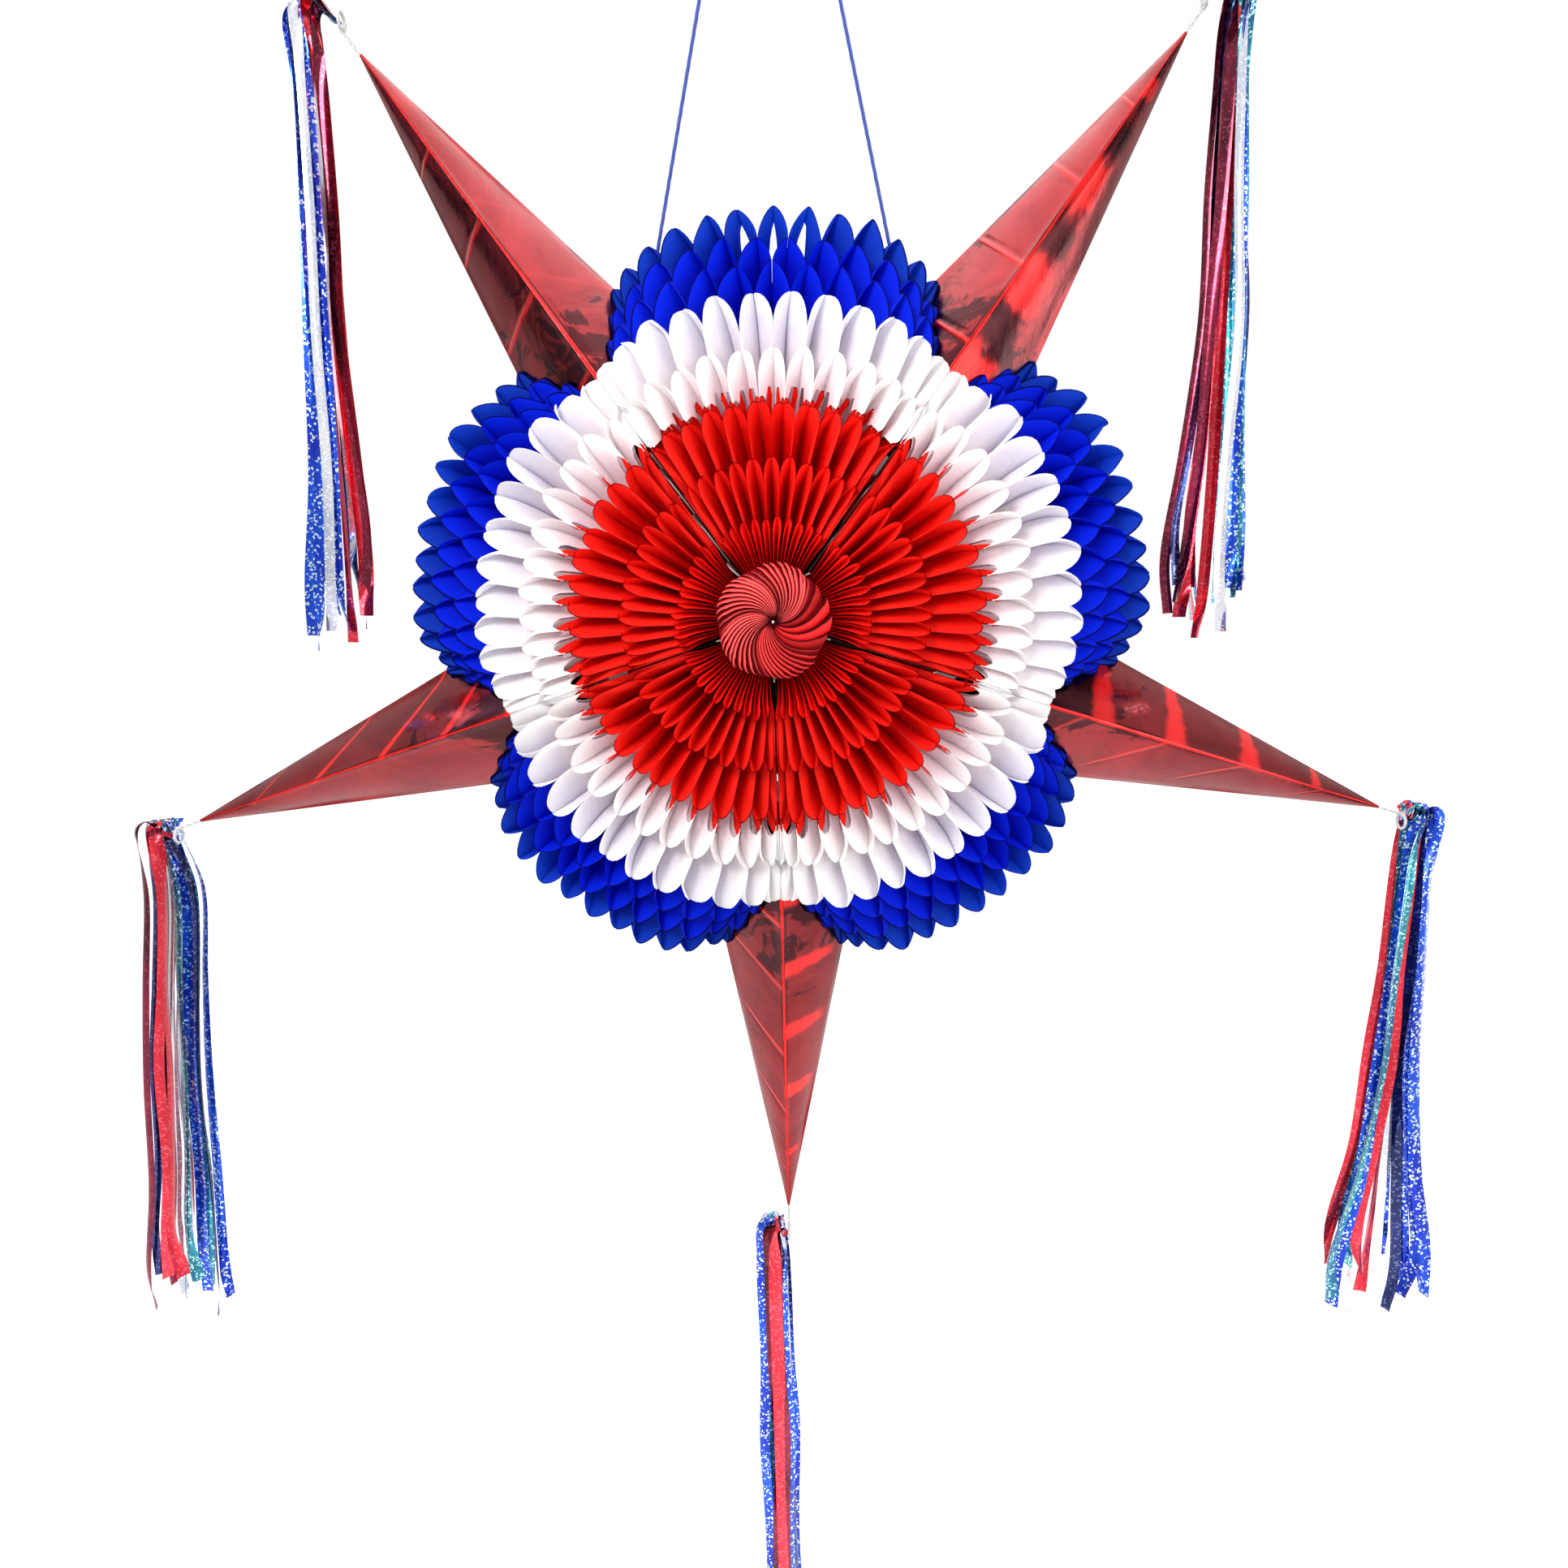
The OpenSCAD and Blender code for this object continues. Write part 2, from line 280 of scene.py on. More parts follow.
def tissue_material(name, colour, deep, edge, glow, share, painted_light, tints=None):
    """Thin tissue: mottled fibres, a darker cut edge, and light that comes through beside it.

    tints are colours that neighbouring tissue casts on its deeper parts, by distance from the spine.
    """
    mat, nt, bsdf, out = new_material(name)
    fibres = noise_at(nt, coords(nt, (1, 0.45, 1)), 420, 6, 0.7, 0.6)
    clouds = noise_at(nt, coords(nt), 70, 3)
    mottled = mix(nt, rise(nt, fibres, 0.30, 0.66), deep, colour)
    tone = mix(nt, rise(nt, clouds, 0.42, 0.70, high=0.55), mottled, deep)
    # Painted bounce light: multiplied in, pink where the white meets the red rows and lavender where it meets the
    # blue.
    if tints:
        away = node(nt, "ShaderNodeVectorMath", {0: coords(nt, (1, 0, 1), move=(0, 0, DROP))}, operation="LENGTH")
        tone = mix(nt, 1.0, tone, ramp(nt, away.outputs["Value"], tints), "MULTIPLY")
    # Painted light: by the rim value, the tissue turns towards its brighter colour near the cut edge.
    lit = mix(nt, math_node(nt, "MULTIPLY", attribute(nt, "rim"), 0.8), tone, painted_light)
    final = mix(nt, attribute(nt, "edge"), lit, edge)
    feed(nt, bsdf, {"Base Color": final, "Roughness": 0.75, "Specular IOR Level": 0.05})
    add_bump(nt, bsdf, fibres, 0.25, 0.0004)
    through = node(nt, "ShaderNodeBsdfTranslucent", {"Color": mix(nt, 0.5, final, glow)})
    both = node(nt, "ShaderNodeMixShader", {0: share, 1: bsdf.outputs[0], 2: through.outputs[0]})
    feed(nt, out, {0: both.outputs[0]})
    return mat


def foil_material():
    """Mirror foil on card: satin streaks, fine wrinkles, creases with a painted highlight and glow, and ragged dark
    reflections by the body.
    """
    mat, nt, bsdf, _ = new_material("foil_red_film")
    streaks = noise_at(nt, coords(nt, (1, 1, 1), (0.4, 0.9, 0.3)), 14, 5, 0.6, 1.6)
    fine = noise_at(nt, coords(nt, (9, 2, 1.2), (0.2, 0.7, 0.1)), 30, 4, 0.6, 0.4)
    ragged = noise_at(nt, coords(nt, (1, 1, 1.8), (0.7, 0.2, 0.5)), 24, 7, 0.62, 1.2)
    base = mix(nt, rise(nt, streaks, 0.36, 0.66), (0.20, 0.012, 0.015), (0.33, 0.022, 0.026))
    # Painted dark reflection: ragged dark patches, most of them near the body, where the dark value rises.
    near = math_node(nt, "ADD", ragged, math_node(nt, "MULTIPLY", attribute(nt, "dark"), 0.40))
    painted_dark_reflection = mix(nt, rise(nt, near, 0.745, 0.79), base, (0.060, 0.001, 0.004))
    # Painted dark line beside the ridge, and painted dark reflections beside the broad bright ones, by the line
    # value.
    lined = mix(nt, attribute(nt, "line"), painted_dark_reflection, (0.035, 0.001, 0.003))
    # Painted highlight: the creases and the ridge turn bright red and glow a little, though the foil gives no light.
    fold = attribute(nt, "fold")
    feed(nt, bsdf, {"Base Color": mix(nt, fold, lined, (1.0, 0.030, 0.025)), "Metallic": 1.0,
                    "Roughness": rise(nt, fine, 0.3, 0.7, 0.10, 0.24), "Coat Weight": 0.06, "Coat Roughness": 0.15,
                    "Emission Color": (1.0, 0.02, 0.02),
                    "Emission Strength": math_node(nt, "MULTIPLY", fold, 0.40)})
    height = math_node(nt, "ADD", math_node(nt, "MULTIPLY", streaks, 0.8), math_node(nt, "MULTIPLY", fine, 0.08))
    add_bump(nt, bsdf, height, 0.18, 0.004)
    return mat


def card_material(name, colour, dark):
    mat, nt, bsdf, _ = new_material(name)
    fibres = noise_at(nt, coords(nt), 900, 5, 0.7)
    clouds = noise_at(nt, coords(nt), 60, 3)
    mottled = mix(nt, math_node(nt, "MULTIPLY", fibres, clouds), colour, dark)
    feed(nt, bsdf, {"Base Color": mottled, "Roughness": 0.85})
    add_bump(nt, bsdf, fibres, 0.3, 0.0003)
    return mat


def thread_material(name, colour, dark):
    """Spun thread: fine fibres lie across the plies."""
    mat, nt, bsdf, _ = new_material(name)
    fibres = noise_at(nt, coords(nt, (1, 1, 2.5), (0.5, 0.5, 0)), 2600, 4, 0.65)
    feed(nt, bsdf, {"Base Color": mix(nt, fibres, dark, colour), "Roughness": 0.8, "Sheen Weight": 0.25})
    add_bump(nt, bsdf, fibres, 0.4, 0.0002)
    return mat


def film_material(name, colour, second, spark, glitter, rough=0.2):
    """Metallised film. glitter from 0, plain film, to 1, holographic flakes."""
    mat, nt, bsdf, _ = new_material(name)
    flakes = node(nt, "ShaderNodeTexVoronoi", {"Vector": coords(nt), "Scale": 850})
    split = node(nt, "ShaderNodeSeparateColor", {0: flakes.outputs["Color"]})
    broad = noise_at(nt, coords(nt, (1, 1, 0.35)), 45, 3)
    base = mix(nt, rise(nt, broad, 0.38, 0.62), colour, second)
    lit = math_node(nt, "MULTIPLY", rise(nt, split.outputs[0], 0.80, 0.86), glitter)
    speckled = mix(nt, lit, base, spark)
    feed(nt, bsdf, {"Base Color": speckled, "Metallic": 0.85, "Roughness": rough, "Coat Weight": 0.4,
                    "Coat Roughness": 0.08})
    height = math_node(nt, "ADD", math_node(nt, "MULTIPLY", split.outputs[1], 0.5 * glitter), broad)
    add_bump(nt, bsdf, height, 0.5, 0.0008)
    return mat


def plastic_material(name, colour):
    mat, nt, bsdf, _ = new_material(name)
    clouds = noise_at(nt, coords(nt), 160, 3)
    mottled = mix(nt, math_node(nt, "MULTIPLY", clouds, 0.2), colour, (0.30, 0.30, 0.32))
    feed(nt, bsdf, {"Base Color": mottled, "Roughness": rise(nt, clouds, 0.3, 0.7, 0.24, 0.36)})
    add_bump(nt, bsdf, noise_at(nt, coords(nt), 1500, 3), 0.08, 0.0002)
    return mat


# In each tissue below, the colour after the translucent share is the painted light beside its cut edges.
TISSUE = {
    "red": tissue_material("tissue_red_sheet", (0.70, 0.0008, 0.0006), (0.46, 0.0004, 0.0003), (0.16, 0.0, 0.002),
                           (0.95, 0.002, 0.001), 0.36, (1.0, 0.024, 0.014)),
    "white": tissue_material("tissue_white_sheet", (0.91, 0.89, 0.885), (0.78, 0.78, 0.86), (0.80, 0.79, 0.80),
                             (0.98, 0.95, 0.94), 0.38, (0.95, 0.93, 0.91),
                             [(0.105, (1.0, 0.76, 0.77)), (0.135, (0.98, 0.90, 0.90)), (0.185, (0.88, 0.89, 1.0))]),
    "blue": tissue_material("tissue_blue_sheet", (0.0006, 0.002, 0.52), (0.0004, 0.0015, 0.32), (0.0006, 0.001, 0.06),
                            (0.0, 0.004, 0.80), 0.34, (0.001, 0.020, 0.72)),
    # The outermost blue row is the same blue tissue, painted lighter and greener: painted light through its single
    # layers.
    "rim": tissue_material("tissue_blue_rim_sheet", (0.002, 0.020, 0.46), (0.001, 0.012, 0.28), (0.0006, 0.002, 0.08),
                           (0.005, 0.06, 0.62), 0.5, (0.010, 0.060, 0.58)),
}
# Rosette tissue: its near-black edge colour also serves as painted shade on and between the pages, and its last
# colour is painted light by the cut edges.
ROSETTE = tissue_material("rosette_sheet", (0.86, 0.008, 0.010), (0.62, 0.004, 0.006), (0.040, 0.001, 0.003),
                          (1.0, 0.03, 0.03), 0.12, (1.0, 0.145, 0.14))
FOIL = foil_material()
CARD = card_material("card_stock", (0.84, 0.83, 0.80), (0.66, 0.64, 0.60))
# The valley leaves are white card; this dark colour is painted shade, for leaves that stand deep in the valleys.
LEAF_CARD_PAINTED_SHADE = card_material("leaf_card_painted_shade", (0.30, 0.24, 0.22), (0.17, 0.13, 0.12))
WHITE_THREAD = thread_material("white_thread", (0.66, 0.66, 0.64), (0.34, 0.34, 0.33))
BLUE_CORD = thread_material("blue_cord", (0.035, 0.075, 0.42), (0.010, 0.020, 0.13))
RING = plastic_material("ring_plastic_moulding", (0.40, 0.41, 0.43))
FILMS = {
    "strip_blue": film_material("film_blue_glitter", (0.004, 0.03, 0.50), (0.01, 0.10, 0.75), (0.75, 0.90, 1.0), 1.0),
    "strip_teal": film_material("film_teal_glitter", (0.01, 0.10, 0.28), (0.03, 0.32, 0.38), (0.55, 0.95, 0.95), 1.0),
    "strip_red": film_material("film_red", (0.62, 0.012, 0.03), (0.85, 0.03, 0.06), (1.0, 0.35, 0.4), 0.25, 0.16),
    "strip_dark": film_material("film_maroon", (0.05, 0.003, 0.012), (0.26, 0.01, 0.04), (0.6, 0.1, 0.2), 0.3, 0.14),
    "strip_navy": film_material("film_navy", (0.006, 0.010, 0.07), (0.03, 0.04, 0.22), (0.4, 0.5, 0.9), 0.3, 0.14),
    "strip_silver": film_material("film_silver", (0.60, 0.64, 0.80), (0.90, 0.92, 0.96), (1.0, 1.0, 1.0), 0.7, 0.12),
}


# ---- Hanging cords ----
def make_cords():
    for name, side in (("cord_left", -1), ("cord_right", 1)):
        ends = [np.array([side * x, y, z]) for x, y, z in CORD_ROUTE]
        path = [ends[0] + (ends[1] - ends[0]) * t for t in np.linspace(0, 1, 160)]
        shape = Shape()
        strand(shape, path, CORD_D / 2)
        cord = shape.piece("hanging_" + name, BLUE_CORD, "star", "cord_blue")
        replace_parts(cord, name)
        make_cord_ends(name, side)


def make_cord_ends(name, side):
    """The loop through the ring's ear with its knot, and the knot inside the cone."""
    loop = Shape()
    centre = np.array([side * RING_EAR[0], 0, RING_EAR[1] - LOOP_R])
    t = np.linspace(0, 2 * math.pi, 140)
    circle = centre + LOOP_R * np.stack([0 * t, np.sin(t), np.cos(t)], axis=1)
    strand(loop, circle, CORD_D / 2, loop=True)
    strand(loop, knot_path(centre - np.array([0, 0, LOOP_R]), 0.0019, tall=1.25), 0.0008, pitch=0.004, around=10)
    top = loop.piece("loop_of_" + name, BLUE_CORD, "star", "cord_blue")
    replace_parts(top, "cord_loops")
    end = Shape()
    x, y, z = CORD_ROUTE[0]
    strand(end, knot_path((side * x, y, z - 0.0022), 0.0026, tall=1.1), 0.00095, pitch=0.004, around=10)
    low = end.piece("stop_knot_of_" + name, BLUE_CORD, "star", "cord_blue")
    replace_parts(low, "cord_knots")
    return [top, low]


make_cords()

# ---- Tissue fans ----
PAGES = 26  # sheets in one fan
FRACTIONS = (0, 0.035, 0.07, 0.12, 0.19, 0.28, 0.40, 0.52, 0.64, 0.74, 0.82, 0.88, 0.93, 0.965)  # mesh rows
GLUE = 0.07  # half the width of a glued strip, in rows
APART = 0.0012  # half the gap between two glued sheets, as a share of half a fan
# Where the tissue ends, in rows
LAST_ROW = SHOULDER_ROW + (SHOULDER_R - POLE_R) / FACE_SLOPE / ROW
RED_ROW = 5  # glue line of the outermost red tips
FINGER = 0.0095  # length of the finger where a red sheet starts
# How far before that glue line a finger starts, and its width, in rows
OPEN_FINGERS, CLOSED_FINGERS = {"top": (0.66, 0.24)}, (0.22, 0.21)
# Share of a lobe's fall before it meets the next lobe, and the roundness and pointedness of its end
WHITE_LOBE, RED_LOBE = (0.72, 2.6, 0.20), (0.42, 2.3, 0.25)
EDGE_LINE = 0.0005  # width of the darker line along the cut edge
BANDS = np.array([0, 0.0004, 0.0008, 0.003, 0.007, 0.013, 0.022])  # mesh columns, as depth from the cut edge
RIM = 0.015  # depth over which light comes through beside the cut edge
ARCH = 0.50  # share of a petal's half-width that is open at the foot of an arch
ARCH_TOP = 0.008  # width of tissue left above an arch's point
INNER = 0.130  # inner edge of the blue sheets
SPLAY = 0.13  # share by which the cut edges spread towards the valleys
DROOP = 3.3  # degrees that the cut edges of a level sheet sag
LEAN_DEPTH = 0.011  # depth from the cut edge over which most of both happens
RIM_SHRINK = {"top": 0.055}  # share by which the rim's rows fall short beside a valley
USUAL_SHRINK, FACE_SHRINK = 0.068, 0.03
STRETCH = {"top": (0.009, 0.0055, 0.005, 0.0025, 0)}  # how much further some fans reach, row by row
OPEN = {"top": 0.42}  # how far from a fan's middle its outermost petals are open arches
BESIDE_CONE = 0.0026  # room between a cone and the tissue beside it
BACK_SHORT = 0.55  # rows by which the tissue ends earlier at the back, for the fill cap
LOOSE = 0.11  # how unevenly the sheets are glued, as a share of the space between two of them
UNEVEN = 0.0016  # how unevenly they were cut
OUTERMOST = 0.97  # pages beyond this share of half a fan lie along their valley
SLIVER = 0.0004  # least width of a sheet, and of what shows of the one behind it
SPARE = 0.012  # mesh rows closer than this to a sheet's end are left out
# Half the gap between two fans, in front of each valley
GAP = {"top_left": 0.0011, "top_right": 0.0014, "left": 0.0004, "right": 0.0008, "bottom": 0.0002}
SIDES = {"top": ("top_right", "top_left"), "upper_left": ("top_left", "left"), "lower_left": ("left", "bottom"),
         "lower_right": ("bottom", "right"), "upper_right": ("right", "top_right")}


def tip_radius(row):
    """Radius of the body at a depth given in rows from the middle plane."""
    row = abs(row)
    if row < SHOULDER_ROW:
        return BODY_R - (BODY_R - SHOULDER_R) * row / SHOULDER_ROW
    return SHOULDER_R - (row - SHOULDER_ROW) * ROW * FACE_SLOPE


def swing(f):
    """Share of the way from one glued strip to the next that a page has turned."""
    f = min(1.0, max(0.0, (f - GLUE) / (1 - 2 * GLUE)))
    return 0.85 * (1 - math.cos(math.pi * f)) / 2 + 0.15 * f


def round_tip(q, power, pointed):
    """Fall of a petal's outline, from 0 at its tip to 1 where it meets the next, with a broad end."""
    return pointed * q ** 1.5 + (1 - pointed) * (1 - max(0.0, 1 - q ** power) ** (1 / power))


def edge_radius(row):
    """Outer edge of a page: a scallop from each glue line to the next. Blue petals are pointed."""
    row = abs(row)
    k = min(int(row), math.ceil(LAST_ROW) - 1)
    q = swing(row - k)
    a, b = tip_radius(k), tip_radius(k + 1)
    if k < SHOULDER_ROW:
        return a - (a - b) * (1 - max(0.0, 1 - q ** 1.25) ** 0.62)
    level, power, pointed = WHITE_LOBE if k < RED_ROW else RED_LOBE
    g = level * round_tip(q, power, pointed) + (1 - level) * smoothstep(1 - 1.5 * GLUE, 1, row - k)
    return a - (a - b) * g


def smoothstep(a, b, x):
    """Rises from 0 at a to 1 at b, or falls where a is the larger."""
    t = min(1.0, max(0.0, (x - a) / (b - a)))
    return t * t * (3 - 2 * t)


def crowd(r):
    """How much closer the pages stand beside a valley than in a fan's middle."""
    return 0.16 * (1 - 0.75 * smoothstep(0.13, 0.23, r))


def half_fan(r, y, gap):
    """Angle in degrees from a fan's middle to its outermost page, squeezed beside a cone."""
    wide = CONE_WIDE * (TIP_R - r) * max(0.0, 1 - abs(y) / (CONE_DEEP * (TIP_R - r)))
    wide = wide * smoothstep(0.062, CONE_IN, r)
    front = smoothstep(-0.045, -0.075, y)
    loose = 0.00006 + front * gap * smoothstep(0.030, 0.055, r) * (1 - smoothstep(0.095, 0.118, r))
    return 36 - math.degrees(math.atan2(wide + BESIDE_CONE * min(1, wide / 0.004) + loose, r))


# Edges of a page, at a row and a place in its fan
def tube(row, t):
    return TUBE_R


def plain(row, t):
    return edge_radius(row)


class Fan:
    """Where each page of one fan is fixed at each glue line."""

    def __init__(self, rng, segment, middle):
        self.segment, self.middle, self.places = segment, middle, {}
        self.gaps = [GAP[v] for v in SIDES[segment]]
        self.phase = rng.uniform(0, 50)
        self.droop = -DROOP * math.cos(math.radians(middle))
        cell = 2 / (PAGES - 2)
        rows = math.ceil(LAST_ROW) + 1
        for k in range(-rows, rows + 1):
            at, lean, reach = np.linspace(-1, 1, PAGES), np.zeros(PAGES), np.zeros(PAGES)
            for i in range(k % 2, PAGES - 1, 2):
                t = i * cell - 1
                t += rng.uniform(-LOOSE, LOOSE) * cell * (abs(t) < OUTERMOST)
                at[i] = at[i + 1] = t
                if k and abs(t) < OUTERMOST:
                    lean[i], lean[i + 1] = -APART, APART
                reach[i] = reach[i + 1] = rng.uniform(-UNEVEN, UNEVEN)
            self.places[k] = (at.clip(-1, 1) + lean, reach)

    def stretch(self, row, t):
        """How much further this fan's petals reach: more in its middle, and less beside the valleys."""
        rim = RIM_SHRINK.get(self.segment, USUAL_SHRINK)
        share = smoothstep(SHOULDER_ROW - 1, SHOULDER_ROW + 2, abs(row))
        short = (rim + (FACE_SHRINK - rim) * share) * smoothstep(0.5, 1.0, abs(t)) * tip_radius(row)
        extra = STRETCH.get(self.segment)
        if not extra:
            return -short
        k = min(int(abs(row)), len(extra) - 2)
        f = min(1.0, abs(row) - k)
        return (extra[k] + (extra[k + 1] - extra[k]) * f) * (1 - t * t) - short

    def page(self, page, rows, inner, outer, columns):
        """Points of one page over the given rows, and how near each is to the cut edge."""
        points, edges, rims = [], [], []
        for row in rows:
            k = math.floor(row)
            f = row - k
            (at_a, reach_a), (at_b, reach_b) = self.places[k], self.places[k + 1]
            share = swing(f)
            t = at_a[page] + (at_b[page] - at_a[page]) * share
            y = -row * ROW
            grow = reach_a[page] + (reach_b[page] - reach_a[page]) * share + self.stretch(row, t)
            r1 = outer(row, t) + grow
            r0 = min(inner(row, t) + (grow if inner is not tube else 0), r1 - SLIVER)
            span = r1 - r0
            bands = BANDS * min(1.0, span / 0.03)
            depths = np.append(bands, np.linspace(bands[-1], span, max(2, columns - len(BANDS) + 1))[1:])[::-1]
            here = []
            for depth in depths:
                r = r1 - depth
                c = crowd(r)
                wave = noise.noise(Vector((page * 0.9 + self.phase, row * 0.8, r * 22)))
                place = t + 0.020 * math.sin(math.pi * f) * wave * (abs(t) < OUTERMOST)
                at = (1 + c) * place - c * place ** 7
                half = half_fan(r, y, self.gaps[0 if t < 0 else 1])
                deep = (1 - math.exp(-depth / LEAN_DEPTH)) * (1 - smoothstep(0.06, 0.12, depth))
                lean = self.droop * (1 - deep) * (1 - at * at)
                a = math.radians(self.middle + at * half * (1 - SPLAY * deep) + lean)
                here.append((r * math.cos(a), y, r * math.sin(a)))
            points.append(here)
            edges.append((depths < EDGE_LINE).astype(float))
            rims.append(np.clip(1 - depths / RIM, 0, 1))
        return in_star(points), np.array(edges), np.array(rims)


def steps(a, b):
    """Row values from a to b, closest beside the glued strips."""
    low, high = min(a, b), max(a, b)
    values = [k + f for k in range(math.floor(low), math.ceil(high)) for f in FRACTIONS]
    inside = [low] + [v for v in values if low + SPARE < v < high - SPARE] + [high]
    return inside if b > a else inside[::-1]


def build_fans():
    rng = np.random.default_rng(7)
    for segment, middle in SEGMENTS.items():
        fan = Fan(rng, segment, middle)
        before, wide = OPEN_FINGERS.get(segment, CLOSED_FINGERS)
        red_start = RED_ROW - before
        opened = OPEN.get(segment, 0)

        def red_edge(row, t):
            """A narrow finger where the red sheet starts, a notch, then a round shoulder at the glue line."""
            row = abs(row)
            past = row - red_start
            low = tip_radius(RED_ROW) + 0.0005
            if row >= RED_ROW:
                return edge_radius(row)
            if past < wide:
                w = 2 * past / wide - 1
                finger = low + FINGER * (1 - 0.55 * max(0.0, abs(w) - 0.1) ** 3)
                return min(edge_radius(row) - SLIVER, finger)
            u = (past - wide) / max(0.001, before - wide)
            return min(edge_radius(row) - SLIVER, low + 0.0035 * math.sin(math.pi * min(1, u)) ** 0.7)

        def blue_inner(row, t):
            row = abs(row)
            if row >= 1:
                return INNER + (TUBE_R - INNER) * min(1, (row - 1) / (SHOULDER_ROW - 1))
            q = swing(row)
            foot = tip_radius(1.6)
            power = 1 - smoothstep(0.6 * opened, opened, abs(t)) if opened else 0.0
            share = ARCH * (0.35 + 0.65 * power)
            if power <= 0 or q >= share:
                return INNER + (foot - INNER) * power * max(0.0, 1 - 4 * (q - share))
            top = foot + (BODY_R - ARCH_TOP - foot) * power
            return foot + (top - foot) * (1 - (q / share) ** 1.6) ** 0.75

        bands = {n: Shape("edge", "rim") for n in ("red_front", "white_front", "blue_rim", "white_back", "red_back")}
        outermost = Shape("edge", "rim")

        def put(shape, page, a, b, inner, outer, columns):
            points, edges, rims = fan.page(page, steps(a, b), inner, outer, columns)
            shape.grid(points, edge=edges, rim=rims)

        for page in range(PAGES):
            for side, place in ((1, "front"), (-1, "back")):
                pole = LAST_ROW if side > 0 else LAST_ROW - BACK_SHORT
                for a, b in ((red_start, red_start + wide), (red_start + wide, RED_ROW), (RED_ROW, pole)):
                    put(bands["red_" + place], page, side * a, side * b, tube, red_edge, 12)
                put(bands["white_" + place], page, side * SHOULDER_ROW, side * red_start, tube, plain, 12)
                put(bands["white_" + place], page, side * red_start, side * (RED_ROW - 0.05), red_edge, plain, 7)
            for side in (-1, 1):
                put(bands["blue_rim"], page, side * SHOULDER_ROW, side, blue_inner, plain, 11)
            put(outermost, page, -1, 1, blue_inner, plain, 8)
        for band, shape in bands.items():
            colour = band.split("_")[0]
            piece = shape.piece(f"pages_{band}_{segment}", TISSUE[colour], "star", "tissue_" + colour)
            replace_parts(piece, f"{band}_{segment}")
        piece = outermost.piece("pages_outermost_" + segment, TISSUE["rim"], "star", "tissue_blue")
        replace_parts(piece, "blue_rim_" + segment)


build_fans()


# ---- Card leaves in the valleys ----
# How far the leaves stand back from the petals on the front, and on the back
RECEDE, USUAL_RECEDE, BACK_RECEDE = {"top_left": 0.013, "top_right": 0.020}, 0.050, 0.005
BOW = {"top_left": 0.0013, "top_right": -0.0013}  # how far they bow between the glue lines, towards the lower fan
LEAF_OUT, BETWEEN = 0.00035, 0.00004  # the leaves' outer faces from a valley's middle, and the gap between them


def build_leaves():
    """Two stiff scalloped card leaves in each valley, inwards of the foil cone."""
    rows = steps(-LAST_ROW + BACK_SHORT, LAST_ROW)
    for valley, angle in VALLEYS.items():
        shape = Shape("edge")
        out = direction(angle)
        across = np.array([-out[2], 0, out[0]])
        recede = RECEDE.get(valley, USUAL_RECEDE)
        for side in (-1, 1):
            outer = [edge_radius(row) - (recede if row > 0 else BACK_RECEDE) for row in rows]
            outer = np.clip(outer, TUBE_R + 0.002, CONE_IN - 0.003)
            grid = np.array([[r * out + np.array([0, -row * ROW, 0]) for r in np.linspace(TUBE_R, far, 6)]
                             for row, far in zip(rows, outer)])
            share = np.linspace(0, 1, grid.shape[1])[None, :, None]
            waves = np.array([BOW.get(valley, 0) * math.sin(math.pi * (row % 1)) * (abs(row) > 4.6) for row in rows])
            grid = grid + across * waves[:, None, None] * share
            near, far = (grid + across * side * d for d in (BETWEEN / 2, LEAF_OUT))
            for face in (near, far):
                shape.grid(in_star(face), edge=0.0)
            rims = [np.concatenate([g[0, :], g[1:-1, -1], g[-1, ::-1], g[-2:0:-1, 0]]) for g in (near, far)]
            shape.grid(in_star(rims), closed=True, edge=1.0)
        piece = shape.piece("leaves_" + valley, LEAF_CARD_PAINTED_SHADE, "star", "card_white", smooth=False)
        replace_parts(piece, "card_leaves_" + valley)


build_leaves()

# ---- Rosettes ----
ROSETTE_R, LOBES, LOBE_PAGES = 0.0275, 5, 10
BACKING = 0.0036  # depth of the closed dome behind the pages
LOBE_TURN = 66  # degrees that a page turns from the centre to the rim
LOBE_START = -21
WIDE_LOBE, WIDE_PAGES = 4, 4  # one lobe has slipped open and shows a few wide dark pages
LOBE_GLOW = (1, 1, 1, 0.5, 0.2)  # how much light comes through each lobe's cut edges
LOWEST = 0.0003  # the pages' height over the tissue or the cap
HOLLOW = 0.16  # share of the radius that is hollow, with painted shade there


def dome(t, share):
    """Height of a rosette's top, fuller in the middle of each lobe and hollow at the centre."""
    full = 0.0064 + 0.0050 * math.sin(math.pi * min(1, t) ** 1.2) ** 0.8
    return full * (0.72 + 0.28 * math.sin(math.pi * share) ** 0.6) - 0.0045 * max(0.0, HOLLOW - t) / HOLLOW


